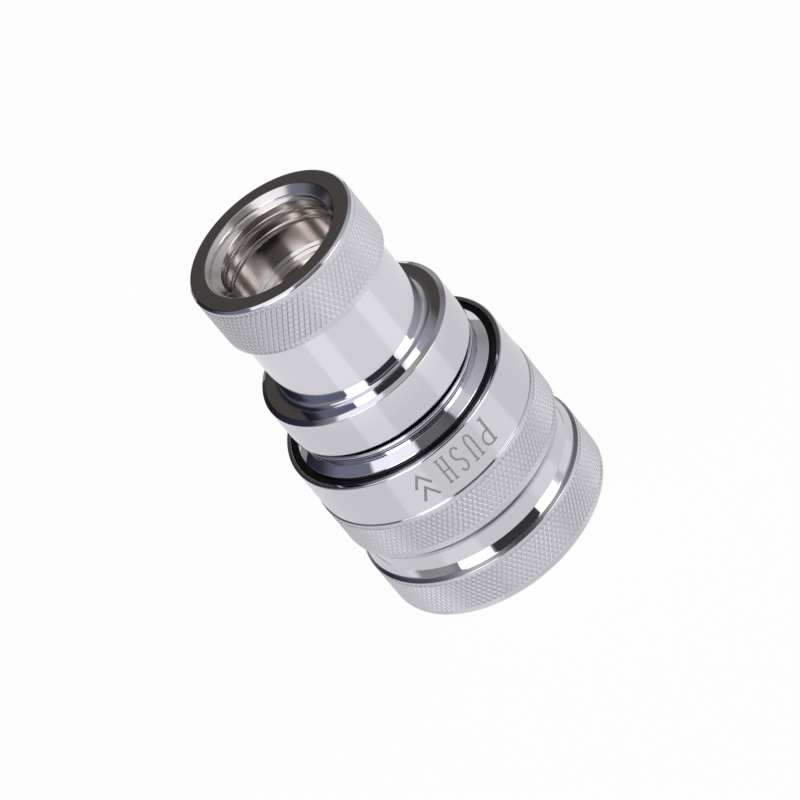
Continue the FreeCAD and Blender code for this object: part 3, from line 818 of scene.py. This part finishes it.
def studio_floor():
    """A flat square sheet that the coupling stands on. Its mirror image in the chrome is painted into its glow: a
    little below white, darker near the coupling as painted shade, white in painted pools where the two lights pour
    over it, and dim on the far left, where the sheet's lit part ends."""
    mesh = bpy.data.meshes.new("studio_floor")
    mesh.from_pydata([(-sheet_half, -sheet_half, 0), (sheet_half, -sheet_half, 0),
                      (sheet_half, sheet_half, 0), (-sheet_half, sheet_half, 0)], [], [(0, 1, 2, 3)])
    floor = bpy.data.objects.new("studio_floor", mesh)
    bpy.context.scene.collection.objects.link(floor)
    material, tree, place = new_material("white_acrylic_sheet")
    path = add_node(tree, "ShaderNodeLightPath")
    seen = add_node(tree, "ShaderNodeMath", {"operation": "MAXIMUM"}, _0=path.outputs["Is Camera Ray"],
                    _1=path.outputs["Is Glossy Ray"])
    seen = add_node(tree, "ShaderNodeMath", {"operation": "MAXIMUM"}, _0=seen.outputs[0],
                    _1=path.outputs["Is Transmission Ray"])
    share = add_node(tree, "ShaderNodeMath", {"operation": "MULTIPLY", 1: glow_share}, _0=seen.outputs[0])
    split = add_node(tree, "ShaderNodeSeparateXYZ", Vector=place)
    # Painted pools of light: white at the azimuths where the two lights pour over the sheet
    pools = add_node(tree, "ShaderNodeValToRGB", Fac=azimuth_of(tree, split).outputs["Result"])
    set_stops(pools, sheet_stops)
    far_left = add_node(tree, "ShaderNodeMapRange", {"interpolation_type": "SMOOTHSTEP", "From Min": dim_start,
                                                     "From Max": dim_full}, Value=split.outputs["X"])
    away = add_node(tree, "ShaderNodeVectorMath", {"operation": "LENGTH"}, _0=place)
    # Painted shade: the mirrored tone is darker within a few centimetres of the coupling
    gain = add_node(tree, "ShaderNodeMapRange", {"From Min": near_end, "From Max": far_start, "To Min": near_shade_gain},
                    Value=away.outputs["Value"])
    lit = add_node(tree, "ShaderNodeVectorMath", {"operation": "SCALE"}, _0=pools.outputs["Color"],
                   Scale=gain.outputs["Result"])
    mirrored = add_node(tree, "ShaderNodeMix", {"data_type": "RGBA", MIX_B: linear(dim_tone)},
                        Factor=far_left.outputs["Result"], _6=lit.outputs["Vector"])
    tone = add_node(tree, "ShaderNodeMix", {"data_type": "RGBA", MIX_B: (1, 1, 1, 1)},
                    Factor=path.outputs["Is Camera Ray"], _6=mirrored.outputs[MIXED])
    sheet = add_node(tree, "ShaderNodeBsdfDiffuse", {"Color": linear(acrylic_tone)})
    glow = add_node(tree, "ShaderNodeEmission", {"Strength": 1.0}, Color=tone.outputs[MIXED])
    both = add_node(tree, "ShaderNodeMixShader", _0=share.outputs[0], _1=sheet.outputs[0], _2=glow.outputs[0])
    finish_material(tree, both)
    mesh.materials.append(material)
    return floor


def soft_light(name, azimuth_deg, distance, width, height, low, strength):
    """A tall soft light that faces the axis, with its lower edge at a height. Sizes are in metres, and the strength
    is the power in watts for each square metre, divided by pi."""
    data = bpy.data.lights.new(name, "AREA")
    data.shape = "RECTANGLE"
    data.size = width
    data.size_y = height
    data.energy = strength * math.pi * width * height
    light = bpy.data.objects.new(name, data)
    bpy.context.scene.collection.objects.link(light)
    azimuth = math.radians(azimuth_deg)
    place = Vector((distance * math.sin(azimuth), -distance * math.cos(azimuth), low + height / 2))
    light.location = place
    light.rotation_euler = (-Vector((place.x, place.y, 0))).to_track_quat("-Z", "Y").to_euler()
    light.visible_camera = False
    return light


def studio_room():
    """The room as a colour for each direction: a ramp over the azimuth, a ceiling that grows paler to the zenith,
    and round patches. The camera itself sees plain white."""
    world = bpy.data.worlds.new("studio_room")
    bpy.context.scene.world = world
    world.use_nodes = True
    tree = world.node_tree
    tree.nodes.clear()
    place = add_node(tree, "ShaderNodeTexCoord").outputs["Generated"]
    split = add_node(tree, "ShaderNodeSeparateXYZ", Vector=place)
    ramp = add_node(tree, "ShaderNodeValToRGB", Fac=azimuth_of(tree, split).outputs["Result"])
    set_stops(ramp, wall_stops)

    def patch(below, azimuth_deg, elevation_deg, inner_deg, outer_deg, hue, gain):
        azimuth, elevation = math.radians(azimuth_deg), math.radians(elevation_deg)
        level = math.cos(elevation)
        middle = (level * math.sin(azimuth), -level * math.cos(azimuth), math.sin(elevation))
        along = add_node(tree, "ShaderNodeVectorMath", {"operation": "DOT_PRODUCT", 1: middle}, _0=place)
        near = add_node(tree, "ShaderNodeMapRange", {"interpolation_type": "SMOOTHSTEP",
                                                     "From Min": math.cos(math.radians(outer_deg)),
                                                     "From Max": math.cos(math.radians(inner_deg))},
                        Value=along.outputs["Value"])
        laid = add_node(tree, "ShaderNodeMix", {"data_type": "RGBA", MIX_B: [part * gain for part in linear(hue)]},
                        Factor=near.outputs["Result"], _6=below)
        return laid.outputs[MIXED]

    overhead = add_node(tree, "ShaderNodeMapRange", {"From Min": math.sin(math.radians(ceiling_start)),
                                                     "From Max": math.sin(math.radians(ceiling_full))},
                        Value=split.outputs["Z"])
    zenith = add_node(tree, "ShaderNodeMapRange", {"From Min": math.sin(math.radians(zenith_start)), "From Max": 1.0},
                      Value=split.outputs["Z"])
    ceiling = add_node(tree, "ShaderNodeMix",
                       {"data_type": "RGBA", MIX_A: linear(ceiling_tone), MIX_B: linear(zenith_tone)},
                       Factor=zenith.outputs["Result"])
    roofed = add_node(tree, "ShaderNodeMix", {"data_type": "RGBA"}, Factor=overhead.outputs["Result"],
                      _6=ramp.outputs["Color"], _7=ceiling.outputs[MIXED])
    colour = roofed.outputs[MIXED]
    for spot in room_patches:
        colour = patch(colour, *spot)
    room = add_node(tree, "ShaderNodeBackground", {"Strength": 1.0}, Color=colour)
    white = add_node(tree, "ShaderNodeBackground", {"Color": (1, 1, 1, 1), "Strength": 1.0})
    path = add_node(tree, "ShaderNodeLightPath")
    both = add_node(tree, "ShaderNodeMixShader", _0=path.outputs["Is Camera Ray"], _1=room.outputs[0],
                    _2=white.outputs[0])
    add_node(tree, "ShaderNodeOutputWorld", Surface=both.outputs[0])


studio_floor()
studio_room()
soft_light("left_soft_light", -36.5, distance=0.6, width=0.344, height=0.64, low=0.03, strength=1.5)
soft_light("right_soft_light", 48, distance=0.6, width=0.355, height=0.56, low=0.03, strength=1.5)


# Camera: 35 degrees above the horizon in front, rolled so that the plug points to the upper left

sensor_width = 36
nearest_drawn = 10
shift_across = 0.0020
shift_along = -0.0027


def camera(elevation_deg, roll_deg, distance, target_height, lens):
    """A camera that looks at the axis from the front and is turned about its own line of sight. All its lengths are
    in millimetres, and the shifts are shares of the picture."""
    data = bpy.data.cameras.new("camera")
    data.lens = lens
    data.sensor_width = sensor_width
    data.clip_start = nearest_drawn * MM
    data.shift_x = shift_across
    data.shift_y = shift_along
    eye = bpy.data.objects.new("camera", data)
    bpy.context.scene.collection.objects.link(eye)
    elevation = math.radians(elevation_deg)
    back = Vector((0, -math.cos(elevation), math.sin(elevation)))
    right = Vector((1, 0, 0))
    above = back.cross(right)
    roll = math.radians(roll_deg)
    across = math.cos(roll) * right - math.sin(roll) * above
    along = math.sin(roll) * right + math.cos(roll) * above
    turn = Matrix((across, along, back)).transposed().to_4x4()
    place = Vector((0, 0, target_height)) + back * distance
    eye.matrix_world = Matrix.Translation(place * MM) @ turn
    bpy.context.scene.camera = eye


camera(elevation_deg=35.286, roll_deg=39.4, distance=417.0, target_height=17.6, lens=204.6)
bpy.context.scene.view_settings.view_transform = "Standard"
